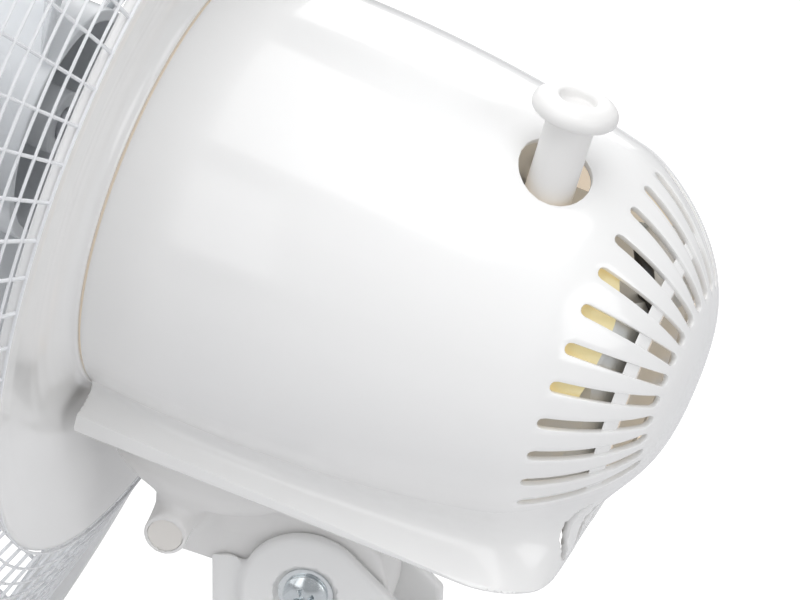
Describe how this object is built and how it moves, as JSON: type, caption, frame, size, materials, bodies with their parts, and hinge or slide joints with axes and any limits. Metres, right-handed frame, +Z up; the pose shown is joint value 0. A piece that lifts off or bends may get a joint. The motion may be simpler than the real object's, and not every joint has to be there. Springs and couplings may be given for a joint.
{
  "type": "desk fan",
  "caption": "Oscillating desk fan with a round base, tilting neck, slotted motor housing, pull-up swing knob and a wire guard round the blade.",
  "frame": {"origin": "on the table under the centre of the round base", "axes": "+Z up, -Y the way the air blows, +X towards the side of the turning knob"},
  "size_m": [0.3776, 0.2745, 0.5129],
  "materials": {
    "white_gloss": "high gloss",
    "white_satin": "satin",
    "stand_plastic": "gloss",
    "dark_plate": "satin",
    "ballast_iron": "rough",
    "foot_rubber": "matte",
    "zinc": "bright zinc",
    "button_grey": "satin",
    "button_red": "satin",
    "black_plastic": "matte",
    "steel": "turned",
    "aluminium_cast": "as cast",
    "lamination": "varnished",
    "copper": "enamelled copper",
    "tape": "varnished tape",
    "sinter": "oiled",
    "gear_nylon": "natural",
    "wire_paint": "gloss",
    "badge_silver": "satin",
    "blade_plastic": "gloss"
  },
  "bodies": {
    "stand": {"base_shell": "stand_plastic", "base_plate": "dark_plate", "ballast": "ballast_iron", "rubber_feet": "foot_rubber", "hole_bung": "foot_rubber", "base_screws": "zinc", "control_panel": "white_satin", "switch_block": "black_plastic", "capacitor": "black_plastic", "column": "stand_plastic", "column_nut": "steel", "tilt_screw": "zinc", "tilt_washer": "zinc", "tilt_nut": "zinc"},
    "neck": {"neck": "white_satin", "peg_plug": "white_satin", "pivot_pin": "steel", "pivot_ring": "black_plastic", "link_pin": "steel"},
    "head": {"rear_shell": "white_gloss", "front_collar": "white_gloss", "shell_screws": "zinc", "front_bracket": "aluminium_cast", "rear_bracket": "aluminium_cast", "stator_core": "lamination", "winding_front": "copper", "winding_rear": "copper", "winding_tape": "tape", "motor_bolts": "zinc", "front_bush": "sinter", "rear_bush": "sinter", "gearbox_case": "aluminium_cast", "gearbox_lid": "aluminium_cast", "lid_screws": "zinc", "rear_guard": "wire_paint", "guard_nuts": "blade_plastic", "guard_rim": "white_gloss", "front_guard": "wire_paint", "badge": "badge_silver", "guard_clips": "white_gloss"},
    "rotor": {"rotor_core": "lamination", "motor_shaft": "steel", "blade": "blade_plastic", "blade_nut": "blade_plastic"},
    "link": {"link_rod": "steel", "link_rivet": "steel"},
    "worm_wheel": {"worm_wheel": "gear_nylon"},
    "clutch_shaft": {"clutch_shaft": "steel"},
    "crank": {"crank_gear": "gear_nylon", "crank_arm": "steel"},
    "knob": {"knob": "white_satin"},
    "button_off": {"button_off": "button_red"},
    "button_1": {"button_1": "button_grey"},
    "button_2": {"button_2": "button_grey"},
    "button_3": {"button_3": "button_grey"}
  },
  "joints": [
    {"name": "tilt", "type": "hinge", "parent": "stand", "child": "neck", "pos_m": [0, 0, 0.215], "axis": [1, 0, 0], "range_deg": [-12, 25]},
    {"name": "turn", "type": "hinge", "parent": "neck", "child": "head", "pos_m": [0, -0.02609, 0.2418], "axis": [0, 0.2324, 0.9726], "range_deg": [-30.6, 49.4]},
    {"name": "link_swing", "type": "hinge", "parent": "neck", "child": "link", "pos_m": [0.018, -0.01023, 0.25651], "axis": [0, 0.2324, 0.9726], "range_deg": [-8, 8]},
    {"name": "spin", "type": "hinge", "parent": "head", "child": "rotor", "pos_m": [0.00208, 0.00316, 0.30986], "axis": [0.1628, 0.9596, -0.2293], "continuous": true},
    {"name": "worm_wheel_turn", "type": "hinge", "parent": "head", "child": "worm_wheel", "pos_m": [0.02769, 0.04834, 0.29907], "axis": [0, 0.2324, 0.9726], "continuous": true},
    {"name": "crank_turn", "type": "hinge", "parent": "head", "child": "crank", "pos_m": [0.01234, 0.06362, 0.29541], "axis": [0, 0.2324, 0.9726], "continuous": true},
    {"name": "clutch_turn", "type": "hinge", "parent": "head", "child": "clutch_shaft", "pos_m": [0.02769, 0.04834, 0.29907], "axis": [0, 0.2324, 0.9726], "continuous": true},
    {"name": "knob_slide", "type": "slide", "parent": "clutch_shaft", "child": "knob", "axis": [0, 0.2324, 0.9726], "range_m": [-0.008, 0]},
    {"name": "button_off_press", "type": "slide", "parent": "stand", "child": "button_off", "axis": [0, 0, 1], "range_m": [-0.003, 0], "stiffness_N_per_m": 250, "springref_m": 0.0006},
    {"name": "button_1_press", "type": "slide", "parent": "stand", "child": "button_1", "axis": [0, 0, 1], "range_m": [-0.003, 0], "stiffness_N_per_m": 250, "springref_m": 0.0006},
    {"name": "button_2_press", "type": "slide", "parent": "stand", "child": "button_2", "axis": [0, 0, 1], "range_m": [-0.003, 0], "stiffness_N_per_m": 250, "springref_m": 0.0006},
    {"name": "button_3_press", "type": "slide", "parent": "stand", "child": "button_3", "axis": [0, 0, 1], "range_m": [-0.003, 0], "stiffness_N_per_m": 250, "springref_m": 0.0006}
  ],
  "couplings": [
    {"joint": "worm_wheel_turn", "follows": "spin", "ratio": 0.041667},
    {"joint": "clutch_turn", "follows": "crank_turn", "ratio": -3.4}
  ]
}
